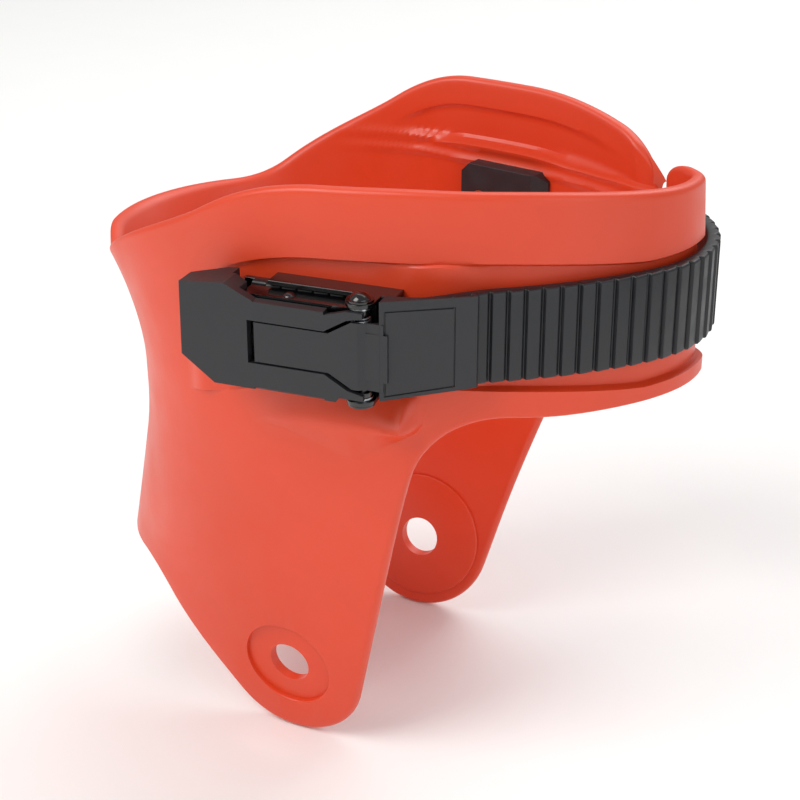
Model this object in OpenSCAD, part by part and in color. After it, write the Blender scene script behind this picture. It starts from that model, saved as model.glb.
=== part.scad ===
// Ankle cuff of a tree climbing spur: a moulded C-shaped shell with two pivot ears, a ladder
// strap around its front and a ratchet buckle on its near side.
// +X is forward, +Z is up, -Y is the buckle side. The origin is the middle of the pivot axis.

/* [Shell plan] */
// Distance from the pivot axis to the front of the flaps
front_len = 97; // [80:1:120]
// Distance from the pivot axis to the back of the shell at its lower edge
rear_len = 70; // [60:1:85]
// Half width of the flaps, outside
flap_half = 56; // [50:0.5:66]
// Half width across the ears at the pivot, outside
pivot_half = 43; // [38:0.5:48]
// How far an ear leans outwards for each millimetre of height
ear_lean = 0.16; // [0.05:0.01:0.25]
// Thickness of the moulded wall
wall = 3.6; // [2.8:0.1:4.5]

/* [Shell heights] */
// Height of the top rim at the flaps
rim_z = 143; // [120:1:170]
// Height of the dip in the rim at the back
rear_rim_z = 104.5; // [95:1:110]
// Height of the lower edge of the flaps
flap_z = 88; // [80:0.5:92]
// Height of the lower edge at the back
rear_edge_z = 18; // [5:1:30]
// Height up to which the back draws in towards its waist
waist_z = 64; // [55:1:70]

/* [Pivot ears] */
// Radius of the ear around the pivot
ear_r = 22.6; // [20:0.2:26]
// Radius of the pivot hole
pivot_r = 6; // [4:0.25:7]
// Radius of the round recess for the bolt head
recess_r = 13; // [10:0.5:15]
// Depth of that recess
recess_d = 1.4; // [0.6:0.1:1.8]
// Radius of the raised disc inside the ear
disc_r = 19.5; // [15:0.5:20]

/* [Ladder strap] */
// Width of the strap
strap_w = 23; // [20:0.5:25]
// Thickness of the strap without its teeth
strap_core = 2.4; // [2:0.1:3]
// Height of the teeth
tooth_h = 1.1; // [1:0.1:1.8]
// Distance from one tooth to the next
tooth_pitch = 4.2; // [4:0.1:6]
// Depth of the channel that the strap lies in
channel_d = 2; // [1:0.1:2.4]

/* [Buckle] */
// Thickness of the steel base
base_t = 1.5; // [1.2:0.1:1.8]
// Radius of the lever pin
pin_r = 1.95; // [1.5:0.05:2.2]
// Radius of the drive pawl's pin
pawl_pin_r = 1.45; // [1:0.05:1.6]
// Width of the lever handle
handle_w = 24.6; // [23:0.2:26]
// Length of the lever handle behind the lever pin
handle_len = 46.2; // [42:0.5:55]

/* [Hidden] */
$fn = 48;
eps = 0.01;

// Clearances
run_gap = 0.05;
air_gap = 0.3;
seat_gap = 0.02;

// ---- small maths ----
function clamp01(v) = max(0, min(1, v));
function step01(a, b, v) = let(q = clamp01((v - a) / (b - a))) q * q * (3 - 2 * q);
function mix(a, b, q) = a + (b - a) * q;
function soft_min(a, b, k) = let(q = clamp01(0.5 + 0.5 * (b - a) / k)) mix(b, a, q) - k * q * (1 - q);
function soft_max(a, b, k) = -soft_min(-a, -b, k);
function sgn(v) = v < 0 ? -1 : 1;

// ---- plan of the shell ----
// The station angle th runs from the near flap's tip, over the near side and the back, to the far flap.
near_tip = 18;
tip_tuck = 6.5;
far_end = -316;
far_slant = 11;
waist_in = 9.8;
waist_slope = 0.25;
rear_flare = 0.012;
flare_z = 14;
function half_width(z) = soft_min(pivot_half + ear_lean * z, flap_half, 3);
function rear_reach(z) = rear_len - waist_in + soft_max(0, waist_slope * (waist_z - z), 2)
  - 2.6 * (1 - step01(45, 85, z)) + rear_flare * pow(max(0, z - waist_z - flare_z), 2);
function roundness(z, front) = 2 + (front ? 1 : 0.3) * (1 - step01(45, 85, z));
function nominal_x(th) = (cos(th) > 0 ? front_len : rear_len) * cos(th);
// Above the flaps' lower part the front leans back
front_lean = 0.06;
lean_z = 98;
function shell_x(th, z) =
  let(x = nominal_x(th)) x - (rear_reach(z) - rear_len) * step01(15, rear_len, -x)
  - front_lean * max(0, z - lean_z) * step01(20, front_len, x);
function shell_y(th, z) =
  let(p = roundness(z, cos(th) > 0)) sgn(sin(th)) * half_width(z) * pow(1 - pow(abs(cos(th)), p), 1 / p);
function shell_n(th, z) =
  let(p = roundness(z, cos(th) > 0), b = half_width(z), a = cos(th) > 0 ? front_len : rear_reach(z),
    gx = sgn(cos(th)) * pow(abs(cos(th)), p - 1) / a,
    gy = sgn(sin(th)) * pow(abs(shell_y(th, z)) / b, p - 1) / b,
    m = sqrt(gx * gx + gy * gy))
  [gx / m, gy / m];

// ---- side outline of the shell ----
front_angle = atan(0.265);
rear_angle = 48;
ear_x = -0.5;
fillet_r = 24;
fillet_z = flap_z - fillet_r;
fillet_x = ear_x + (ear_r + fillet_r + fillet_z * sin(front_angle)) / cos(front_angle);
fillet_start = fillet_x - fillet_r * cos(front_angle);
ear_front_x = ear_x + ear_r * cos(front_angle);
ear_rear_x = ear_x - ear_r * sin(rear_angle);
function low_edge(x) =
  x < ear_rear_x ? soft_min(((ear_x - x) * sin(rear_angle) - ear_r) / cos(rear_angle), rear_edge_z, 8)
  : x < ear_front_x ? -sqrt(ear_r * ear_r - pow(x - ear_x, 2))
  : x < fillet_start ? ((x - ear_x) * cos(front_angle) - ear_r) / sin(front_angle)
  : x < fillet_x ? fillet_z + sqrt(max(0, fillet_r * fillet_r - pow(x - fillet_x, 2)))
  : flap_z + 1.5 * step01(70, 95, x);
near_slope = 0.57;
far_slope = 0.72;
function near_rim(th) =
  rim_z + 1.4 * step01(5, 45, nominal_x(th)) - 3.8 * step01(-50, 5, th);
function far_rim(x) = rim_z + 0.3 - 0.0045 * pow(max(0, x - 28), 2);
function high_edge(th) =
  let(x = nominal_x(th), far = step01(150, 200, -th), top = th > -180 ? near_rim(th) : far_rim(x),
    rise = rim_z + mix(-1.6, 3.5, far) + mix(near_slope, far_slope, far) * x)
  soft_max(soft_min(top, rise, 9), rear_rim_z + 5.5 * step01(135, 165, -th), 5);
// The corners of the flap ends are rounded
function end_dist(th) =
  th > -180 ? (near_tip - th) * 0.95 : (th - far_end) * 1.1;
function corner(r, d) = d < r ? r - sqrt(max(0, r * r - pow(r - d, 2))) : 0;

// ---- levels of one column ----
channel_low = 92;
channel_high = 125.6;
edge_r = 1.5;
channel_h = rim_z - channel_low;
ledge_h = 8.6;
ledge_end = 41;
ledge_drop = 17;
function col_low(th) = low_edge(nominal_x(th)) + corner(6.5, end_dist(th));
function col_high(th) = high_edge(th) - corner(th > -180 ? 7 : 9, end_dist(th));
// The channel's lower edge is higher in front of the buckle
function lower_ridge(x) = 2 * step01(42, 50, x);
function channel_z(th) =
  let(t = high_edge(th))
  max(t - channel_h * (0.55 + 0.45 * step01(rear_rim_z, 140, t)) + lower_ridge(nominal_x(th)), min(col_low(th) + 4, 99.6));
function ledge_z(th) =
  let(c = channel_z(th), b = col_low(th)) max(c - ledge_h, b + 0.55 * (c - b));
function facet_z(th) =
  let(l = ledge_z(th), b = col_low(th))
  max(l - max(2, ledge_drop * clamp01(nominal_x(th) / ledge_end)), b + 0.83 * (l - b));
// Where the rim drops in front, the channel's upper edge stays above the strap
strap_clear_z = 124.4;
function upper_lift(th, z) = step01(36, 60, nominal_x(th)) * max(0, strap_clear_z - z);
lift = [0, 0.3 * edge_r, edge_r];
inset = [0.9 * edge_r, 0.35 * edge_r, 0];
panel = [0, 0.8, 8, 18, channel_high - channel_low - 1.2, channel_high - channel_low];
function levels(th) =
  let(b = col_low(th), t = col_high(th), c = channel_z(th), l = ledge_z(th), f = facet_z(th),
    up = upper_lift(th, mix(c, t, panel[4] / channel_h)))
  concat(
    [for (k = [0:2]) b + lift[k]],
    [for (k = [1:4]) mix(b + edge_r, f, k / 4)],
    [for (k = [1:3]) mix(f, l, k / 3)],
    [mix(l, c, 0.5)],
    [for (p = panel) mix(c, t, p / channel_h) + (p < panel[4] ? 0 : up)],
    [mix(mix(c, t, panel[5] / channel_h) + up, t, 0.5)],
    [for (k = [2:-1:0]) t - lift[k]]);
rows = 21;

// ---- offsets from the plan ----
pad_x = 16;
pad_angle = 6;
pad_half = 52.8;
function channel_ends(x) = step01(-8, 8, x);
function in_channel(th, row) = row >= 12 && row <= 15 ? channel_ends(nominal_x(th)) : 0;
function edge_inset(row) = row < 3 ? inset[row] : row > rows - 4 ? inset[rows - 1 - row] : 0;
function pad_y(x) = -(pad_half - 0.05 - tan(pad_angle) * (x - pad_x));
function on_pad(x) = step01(-20, -13, x) * (1 - step01(44, 60, x));
ledge_rows = [0, 0, 0, 0, 0, 0, 0, 0.33, 0.67, 1, 0.5];
function ledge_share(th, row) =
  row > 10 ? 0 : ledge_rows[row] * step01(-2, 12, nominal_x(th))
  * (1 - step01(ledge_end, ledge_end + 4, nominal_x(th)));
function outer_pt(th, z, row) =
  let(q = th - far_slant * step01(-285, far_end, th) * (1 - clamp01((z - flap_z) / (rim_z - flap_z))),
    n = shell_n(q, z), off = -channel_d * in_channel(th, row) - edge_inset(row),
    tuck = -tip_tuck * step01(4, near_tip, th),
    x = shell_x(q, z) + n.x * (off + tuck), y = shell_y(q, z) + n.y * (off + tuck),
    near = th < -10 && th > -180,
    y1 = near && row >= 12 && row <= 15 ? mix(y, pad_y(x), on_pad(x)) : y,
    y2 = near ? mix(y1, min(y1, -flap_half), ledge_share(th, row)) : y)
  [x, y2, z];
// The far flap's end slopes on its inner side
end_bevel = 4.6;
function inner_pt(th, z, row) =
  let(q = th - far_slant * step01(-285, far_end, th) * (1 - clamp01((z - flap_z) / (rim_z - flap_z))),
    n = shell_n(q, z), off = -channel_d * in_channel(th, row) + edge_inset(row) - wall,
    tuck = -tip_tuck * step01(4, near_tip, th),
    bevel = th > -180 ? 0 : (wall - 1.2) * (1 - clamp01(end_dist(th) / end_bevel)))
  [shell_x(q, z) + n.x * (off + tuck + bevel), shell_y(q, z) + n.y * (off + tuck + bevel), z];

stations = concat(
  [for (a = [near_tip:-1.6:10]) a], [for (a = [8:-4:-44]) a], [for (a = [-46:-1.6:-78]) a],
  [for (a = [-80:-3:-116]) a], [for (a = [-119:-4:-175]) a], [for (a = [-180:-4:-240]) a],
  [for (a = [-243:-3:-281]) a], [for (a = [-282.4:-1.6:far_end]) a], [far_end]);

// A solid swept through closed rings of equal length: the faces between rings and two end caps.
// Each ring lists the points on the right of the way upwards and then those on the left downwards.
module ring_sweep(rings) {
  m = len(rings[0]);
  h = m / 2;
  last = (len(rings) - 1) * m;
  sides = [for (i = [0:len(rings) - 2], j = [0:m - 1])
    let(a = i * m + j, b = i * m + (j + 1) % m) each [[a, b, b + m], [a, b + m, a + m]]];
  caps = [for (j = [0:h - 2])
    each [[m - 1 - j, m - 2 - j, j + 1], [m - 1 - j, j + 1, j],
      [last + j, last + j + 1, last + m - 2 - j], [last + j, last + m - 2 - j, last + m - 1 - j]]];
  polyhedron([for (r = rings) each r], concat(sides, caps));
}

function shell_ring(th) =
  let(z = levels(th))
  concat([for (r = [0:rows - 1]) inner_pt(th, z[r], r)], [for (r = [rows - 1:-1:0]) outer_pt(th, z[r], r)]);

// Places children on an ear: z = 0 is the outer face at the pivot and +z points outwards
module on_ear(side) {
  translate([0, side * pivot_half, 0])
    rotate([side * -90 + side * -atan(ear_lean), 0, 0])
      children();
}

anchor_x = 24;
rivet_s = [-13, 21.5];
rivet_r = 2;
washer_r = 4.2;
seat_dip = 0.3;
screw_r = 2;
screw_gap = 7;

module cuff_shell() {
  color("orangered")
    difference() {
      union() {
        ring_sweep([for (a = stations) shell_ring(a)]);
        for (side = [-1, 1])
          on_ear(side)
            translate([0, 0, -wall - 0.8])
              cylinder(r = disc_r, h = 1.8);
      }
      rotate([90, 0, 0])
        cylinder(r = pivot_r, h = 4 * pivot_half, center = true);
      for (side = [-1, 1])
        on_ear(side)
          translate([0, 0, -recess_d])
            cylinder(r = recess_r, h = 10);
      in_buckle()
        for (s = rivet_s)
          translate([s, 0, 0])
            rotate([-90, 0, 0]) {
              translate([0, 0, -10])
                cylinder(r = rivet_r + seat_gap, h = 30);
              translate([0, 0, rivet_seat(s)])
                cylinder(r = washer_r + air_gap, h = 9);
            }
      in_anchor()
        for (k = [-1, 1])
          translate([k * screw_gap, 0, 0])
            rotate([90, 0, 0])
              cylinder(r = screw_r + 0.2, h = 30, center = true);
    }
}

// ---- frames of the buckle and of the strap's fixed end ----
// In both, x runs along the strap and z is up; the shell's surface is y = 0.
buckle_z = 107.3;
anchor_z = 110.5;
anchor_y = flap_half * sqrt(1 - pow(anchor_x / front_len, 2));
anchor_angle = atan(pow(flap_half / front_len, 2) * anchor_x / anchor_y);
anchor_floor = anchor_y - channel_d;
module in_buckle() {
  translate([pad_x, -pad_half, buckle_z])
    rotate([0, 0, pad_angle])
      children();
}
module in_anchor() {
  translate([anchor_x, anchor_floor, anchor_z])
    rotate([0, 0, -anchor_angle])
      children();
}
// Depth of the flat that is cut inside the wall for a rivet's washer, from the buckle's pad
function rivet_seat(s) =
  let(x = pad_x + s * cos(pad_angle), inside = flap_half * sqrt(1 - pow(x / front_len, 2)) - wall)
  (-pad_y(x) - inside + channel_d * channel_ends(x)) * cos(pad_angle) - seat_dip;
// A block of the buckle between two places along the strap and two heights above the shell
module slab(s0, s1, n0, n1, w) {
  translate([s0, -n1, -w / 2])
    cube([s1 - s0, n1 - n0, w]);
}
// A cylinder across the strap in the buckle
module cross_rod(s, n, r, w) {
  translate([s, -n, 0])
    cylinder(r = r, h = w, center = true);
}

// ---- ladder strap ----
strap_low = base_t + 0.4;
strap_tail = -14;
strap_in = channel_d - 2 * air_gap;
strap_start = -62;
strap_stop = 86;
// The strap's way follows the shell at the height of its lower edge
strap_z = 100;
function ellipse_pt(a, off) =
  let(n = shell_n(a, strap_z)) [shell_x(a, strap_z) + n.x * off, shell_y(a, strap_z) + n.y * off];
function buckle_pt(s, n) = [
  pad_x + s * cos(pad_angle) + n * sin(pad_angle),
  -pad_half + s * sin(pad_angle) - n * cos(pad_angle)];
straight_end = 25;
bend_end = -44;
fine = concat(
  [for (s = [strap_tail:1.5:straight_end]) buckle_pt(s, strap_low)],
  [for (k = [1:12])
    let(q = k / 13, a = buckle_pt(straight_end, strap_low), b = ellipse_pt(bend_end, -strap_in),
      ta = [cos(pad_angle), sin(pad_angle)], e = ellipse_pt(bend_end + 1, -strap_in),
      tb = (e - b) / norm(e - b), d = norm(b - a))
    (2 * q * q * q - 3 * q * q + 1) * a + (q * q * q - 2 * q * q + q) * d * ta
    + (3 * q * q - 2 * q * q * q) * b + (q * q * q - q * q) * d * tb],
  [for (a = [bend_end:2:strap_stop]) ellipse_pt(a, -strap_in)]);
run = [for (i = 0, d = 0; i < len(fine); d = i + 1 < len(fine) ? d + norm(fine[i + 1] - fine[i]) : d, i = i + 1) d];
function at_run(d, i = 0) =
  i >= len(run) - 2 || run[i + 1] >= d ? [i, clamp01((d - run[i]) / (run[i + 1] - run[i]))] : at_run(d, i + 1);
front_rise = 4.8;
function strap_rise(p) =
  p.y < 0 || p.x > 85 ? 3.2 * step01(36, 62, p.x) + (front_rise - 3.2) * step01(60, 88, p.x)
  : mix(anchor_z - buckle_z, front_rise, step01(30, 85, p.x));
function strap_section(d, h) =
  let(k = at_run(d), a = fine[k[0]], b = fine[k[0] + 1], p = mix(a, b, k[1]), t = (b - a) / norm(b - a),
    n = [t.y, -t.x], z = buckle_z + strap_rise(p), w = strap_w / 2, o = p + (strap_core + h) * n)
  [[o.x, o.y, z - w], [o.x, o.y, z + w], [p.x, p.y, z + w], [p.x, p.y, z - w]];
plain_end = 40;
tooth = [[0, 0], [0.1, 0], [0.18, 1], [0.9, 0.6]];
strap_len = run[len(run) - 1];
teeth = floor((strap_len - plain_end - 4) / tooth_pitch);
strap_stations = concat(
  [[0, 0]],
  [for (i = [0:teeth - 1], k = tooth) [4 + (i + k[0]) * tooth_pitch, k[1] * tooth_h]],
  [[4 + teeth * tooth_pitch, 0]],
  [for (d = [4 + teeth * tooth_pitch + 3:3:strap_len - 1]) [d, 0]], [[strap_len, 0]]);
module ladder_strap() {
  color([0.13, 0.13, 0.14])
    difference() {
      ring_sweep([for (s = strap_stations) strap_section(s[0], s[1])]);
      in_anchor()
        for (k = [-1, 1])
          translate([k * screw_gap, 0, 0])
            rotate([90, 0, 0])
              cylinder(r = screw_r + 0.2, h = 30, center = true);
    }
}

// ---- fixed end of the strap ----
block_l = 26.6;
block_h = 21;
block_t = 5;
block_corner = 2.5;
block_seat = wall + 0.7;
// A rectangle of these half sizes with its corners cut off
module chamfered(u, v, c) {
  polygon([[c - u, -v], [u - c, -v], [u, c - v], [u, v - c], [u - c, v], [c - u, v], [-u, v - c], [-u, c - v]]);
}
module anchor_block() {
  color([0.1, 0.1, 0.11])
    in_anchor()
      difference() {
        translate([0, -block_seat, 0])
          rotate([90, 0, 0])
            linear_extrude(block_t)
              chamfered(block_l / 2, block_h / 2, block_corner);
        translate([block_l / 2, -block_seat - block_t, 0])
          rotate([0, 0, 50])
            cube([8, 5, 2 * block_h], center = true);
        for (k = [-1, 1])
          translate([k * screw_gap, 0, 0])
            rotate([90, 0, 0])
              cylinder(r = 3 + seat_gap, h = 30, center = true);
      }
}
module anchor_inserts() {
  color("goldenrod")
    in_anchor()
      for (k = [-1, 1])
        translate([k * screw_gap, -block_seat - 0.2, 0])
          rotate([90, 0, 0])
            difference() {
              cylinder(r = 3, h = block_t - 0.4);
              translate([0, 0, -1])
                cylinder(r = screw_r + run_gap, h = block_t + 2);
            }
}
plate_seat = 2 * air_gap + strap_core + 0.05;
plate_t = 1.2;
module anchor_plate() {
  color("dimgray")
    in_anchor()
      difference() {
        union() {
          translate([-screw_gap, plate_seat, -6])
            cube([2 * screw_gap, plate_t, 12]);
          for (k = [-1, 1])
            translate([k * screw_gap, plate_seat, 0])
              rotate([-90, 0, 0])
                cylinder(r = 6, h = plate_t);
        }
        for (k = [-1, 1])
          translate([k * screw_gap, 0, 0])
            rotate([90, 0, 0])
              cylinder(r = screw_r + 0.2, h = 30, center = true);
      }
}
screw_head_r = 3.6;
screw_head_h = 2.2;
module anchor_screws() {
  color("silver")
    in_anchor()
      for (k = [-1, 1])
        translate([k * screw_gap, plate_seat + plate_t, 0])
          rotate([-90, 0, 0])
            difference() {
              union() {
                cylinder(r = screw_head_r, h = screw_head_h);
                translate([0, 0, -plate_t - plate_seat - block_seat - block_t + 0.6])
                  cylinder(r = screw_r, h = plate_t + plate_seat + block_seat + block_t);
              }
              translate([0, 0, screw_head_h - 1.3])
                cylinder(r = 1.5, h = 3, $fn = 6);
            }
}

// ---- buckle base ----
lever_s = 17;
lever_n = 10;
channel_in = strap_w + 2 * air_gap;
base_side = 1.1;
base_w = channel_in + 2 * base_side;
ear_top = 3.6;
flange_start = -8.6;
base_start = -17;
base_end = 27;
head_seat = 0.55;
module base_wall() {
  union() {
    translate([flange_start, -6, 0])
      cube([lever_s + 7 - flange_start, 6, base_side]);
    translate([lever_s - ear_top, -lever_n, 0])
      cube([2 * ear_top, lever_n, base_side]);
    translate([lever_s, -lever_n, 0])
      cylinder(r = ear_top, h = base_side);
  }
}
module buckle_base() {
  color([0.05, 0.05, 0.06])
    in_buckle()
      difference() {
        union() {
          slab(base_start, base_end, 0, base_t, channel_in - 1.6);
          slab(flange_start, lever_s + 7, 0, base_t, base_w);
          for (z = [-base_w / 2, base_w / 2 - base_side])
            translate([0, 0, z])
              base_wall();
        }
        cross_rod(lever_s, lever_n, pin_r + seat_gap, 60);
        for (s = rivet_s)
          translate([s, 0, 0])
            rotate([90, 0, 0])
              cylinder(r = rivet_r + seat_gap, h = 30, center = true);
        for (s = rivet_s)
          translate([s, -head_seat, 0])
            rotate([90, 0, 0])
              cylinder(r = 3.7, h = 3);
      }
}
washer_t = 0.8;
module base_rivets() {
  color("gray")
    in_buckle()
      for (s = rivet_s)
        translate([s, -head_seat - seat_gap, 0])
          rotate([90, 0, 0]) {
            cylinder(r = 3.5, h = 0.8);
            translate([0, 0, -rivet_seat(s) - washer_t - 1.4])
              cylinder(r = rivet_r, h = rivet_seat(s) + washer_t + 1.5);
            translate([0, 0, -rivet_seat(s) - washer_t - 1.6])
              cylinder(r = 3.2, h = 0.9);
          }
}
module rivet_washers() {
  color("silver")
    in_buckle()
      for (s = rivet_s)
        translate([s, rivet_seat(s) + seat_gap, 0])
          rotate([-90, 0, 0])
            difference() {
              cylinder(r = washer_r, h = washer_t - 0.3);
              translate([0, 0, -1])
                cylinder(r = rivet_r + seat_gap, h = 3);
            }
}
pin_head_r = 3.3;
module lever_pin() {
  color("black")
    in_buckle()
      union() {
        cross_rod(lever_s, lever_n, pin_r, base_w + 2.2);
        translate([lever_s, -lever_n, base_w / 2 + seat_gap])
          cylinder(r = pin_head_r, h = 0.5);
        translate([lever_s, -lever_n, base_w / 2 + 0.5])
          intersection() {
              cylinder(r = 2.6, h = 2);
            translate([0, 0, -1.4])
              sphere(r = 3);
          }
      }
}
module pin_clip(r, at) {
  translate([0, 0, at])
    difference() {
      cylinder(r = r + 1.4, h = 0.6);
      translate([0, 0, -1])
        cylinder(r = r + seat_gap, h = 3);
      translate([-0.6 * r, 0, -1])
        cube([1.2 * r, 2 * r + 4, 3]);
    }
}
module lever_pin_clip() {
  color("silver")
    in_buckle()
      translate([lever_s, -lever_n, 0])
        pin_clip(pin_r, -base_w / 2 - 0.65);
}

// ---- lever ----
yoke_t = 1.2;
yoke_out = channel_in / 2 - 0.7;
pawl_s = -1.5;
pawl_n = 9;
module pivot_washers() {
  color("silver")
    in_buckle()
      for (side = [-1, 1])
        translate([lever_s, -lever_n, side * (yoke_out + 0.35)])
          difference() {
            cylinder(r = 2.9, h = 0.5, center = true);
            cylinder(r = pin_r + run_gap, h = 3, center = true);
          }
}
web_s = -13;
yoke_top = 11.3;
teeth_top = strap_low + strap_core + tooth_h;
module lever_yoke() {
  color([0.05, 0.05, 0.06])
    in_buckle()
      difference() {
        union() {
          for (z = [-yoke_out, yoke_out - yoke_t])
            translate([0, 0, z]) {
              translate([web_s, -yoke_top, 0])
                cube([lever_s - web_s, yoke_top - teeth_top - air_gap, yoke_t]);
              translate([lever_s, -lever_n, 0])
                cylinder(r = 2.7, h = yoke_t);
              translate([pawl_s, -pawl_n, 0])
                cylinder(r = 2.2, h = yoke_t);
            }
          slab(web_s, web_s + 3, yoke_top - 1.2, yoke_top, 2 * yoke_out);
        }
        cross_rod(lever_s, lever_n, pin_r + run_gap, 60);
        cross_rod(pawl_s, pawl_n, pawl_pin_r + seat_gap, 60);
        for (z = [-5, 5])
          translate([web_s + 1.5, 0, z])
            rotate([90, 0, 0])
              cylinder(r = 0.8 + seat_gap, h = 40, center = true);
      }
}
face_n = 14;
face_t = 2.4;
tip_s = lever_s - handle_len;
half_w = handle_w / 2;
arm_w = yoke_out;
window_start = -10.6;
window_mid = -0.1;
window_half = 5.5;
window_mouth = 8.9;
window_wide = 9.8;
cover_top = 10.4;
splay_s = 9.2;
// The window, from its closed end to where it opens out at the lever pin, or what fits in it with a gap
function window_outline(gap, later) =
  let(m = window_mid, e = window_start + gap, h = window_half - gap)
  [[e, m - h], [splay_s + later, m - h], [lever_s - 2 + later, gap - window_mouth],
    [lever_s + 2 + later, gap - window_wide], [lever_s + 20, gap - window_wide],
    [lever_s + 20, window_wide - gap], [lever_s + 2 + later, window_wide - gap],
    [lever_s - 2 + later, window_mouth - gap], [splay_s + later, m + h], [e, m + h]];
// Extrudes children towards the face: their y becomes z and they run from one height to another
module face_prism(n0, n1) {
  translate([0, -n0, 0])
    rotate([90, 0, 0])
      linear_extrude(n1 - n0)
        children();
}
module handle_cover() {
  // the cover over the yoke, which leaves the yoke's upper side bare
  translate([-12, 0, 0])
    rotate([90, 0, 90])
      linear_extrude(splay_s + 12)
        polygon([[-face_n, 0.6 - half_w], [0.6 - face_n, -half_w], [face_t - face_n + 0.6, -half_w],
          [face_t - face_n + 0.6, -arm_w - 0.1], [face_t - face_n, -arm_w - 0.1], [face_t - face_n, cover_top],
          [-face_n, cover_top - 0.2]]);
  // the two arms beside the window
  face_prism(lever_n + 2.75, face_n)
    polygon([[splay_s - eps, -half_w], [lever_s - 5, -half_w], [lever_s - 4, -arm_w], [lever_s + 2, -arm_w],
      [lever_s + 2, arm_w], [lever_s - 2, arm_w], [splay_s - eps, arm_w - 1.6]]);
}
module handle_pull() {
  intersection() {
    face_prism(2, face_n)
      polygon([[tip_s + 0.8, -half_w + 6.4], [tip_s + 9.4, -half_w], [-9, -half_w], [-9, cover_top],
        [tip_s + 12.8, half_w + 1.6], [tip_s + 1, half_w + 0.6]]);
    translate([0, 0, -20])
      linear_extrude(40)
        polygon([[tip_s, -13], [tip_s + 0.8, -face_n], [-9, -face_n], [-9, face_t - face_n], [web_s - 0.3, face_t - face_n],
          [web_s - 0.3, -7.5], [-17.4, -6.6], [-17.4, -2.9], [tip_s + 9, -2.9], [tip_s, -8.2]]);
  }
}
module lever_handle() {
  color([0.14, 0.14, 0.15])
    in_buckle()
      difference() {
        union() {
          handle_cover();
          handle_pull();
        }
        face_prism(0, face_n + 1)
          polygon(window_outline(0, 0));
        for (z = [-5, 5])
          translate([web_s + 1.5, -face_n + 1, z])
            rotate([-90, 0, 0])
              cylinder(r = 0.8, h = 10);
      }
}
module handle_screws() {
  color("silver")
    in_buckle()
      for (z = [-5, 5])
        translate([web_s + 1.5, -yoke_top + 1.25, z])
          rotate([90, 0, 0]) {
            translate([0, 0, -0.9])
              cylinder(r = 1.5, h = 0.9);
            cylinder(r = 0.78, h = 2.8);
          }
}
// Two stub pins, so that nothing crosses the window
stub_in = 5.4;
module drive_pawl_pins() {
  color("silver")
    in_buckle()
      for (side = [0, 1])
        translate([pawl_s, -pawl_n, 0])
          mirror([0, 0, side])
            union() {
              translate([0, 0, stub_in])
                cylinder(r = pawl_pin_r, h = yoke_out - stub_in + 0.3);
              translate([0, 0, yoke_out + seat_gap])
                intersection() {
                  cylinder(r = 1.9, h = 1.2);
                  translate([0, 0, -1.3])
                    sphere(r = 2.1);
                }
            }
}

// ---- pawls, rocker and springs ----
pawl_in = 5.6;
pawl_out = 8;
pawl_tip = -12.4;
module drive_pawl() {
  color("dimgray")
    in_buckle()
      difference() {
        union() {
          for (side = [0, 1])
            mirror([0, 0, side])
              translate([0, 0, pawl_in]) {
                translate([pawl_s, -pawl_n, 0])
                  cylinder(r = 1.9, h = pawl_out - pawl_in);
                linear_extrude(pawl_out - pawl_in)
                  polygon([[pawl_s - 1, -pawl_n - 1.6], [pawl_s + 1.2, -pawl_n + 1.2], [pawl_tip + 1.6, -teeth_top - 0.3],
                    [pawl_tip, -teeth_top - 0.3], [pawl_tip, -teeth_top - 1.8]]);
              }
          slab(pawl_tip, pawl_tip + 1.6, teeth_top + 0.3, teeth_top + 1.8, 2 * pawl_out);
        }
        cross_rod(pawl_s, pawl_n, pawl_pin_r + run_gap, 60);
      }
}
// A close-wound coil along z
module coil(r, wire, turns, h) {
  steps = 14;
  ring_sweep([for (i = [0:turns * steps])
    let(a = 360 * i / steps, z = h * i / (turns * steps))
    [for (k = [0:5]) let(b = 60 * k) [(r + wire * cos(b)) * cos(a), (r + wire * cos(b)) * sin(a), z + wire * sin(b)]]]);
}
module drive_pawl_spring() {
  color("silver")
    in_buckle()
      translate([pawl_s, -pawl_n, pawl_out + 0.4])
        coil(1.8, 0.25, 2, 1.1);
}
module release_spring() {
  color("silver")
    in_buckle()
      translate([lever_s, -lever_n, 6.7])
        coil(2.3, 0.28, 3, 2.3);
}
tongue_gap = 0.45;
tongue_top = 13.8;
tongue_low = 12.9;
mouth_gap = 0.4;
tongue_start = window_start + 1.7;
sleeve_start = 22.8;
sleeve_end = 43;
sleeve_slope = atan((13 - 2.9) / (sleeve_end - 1.5 - sleeve_start));
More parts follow.
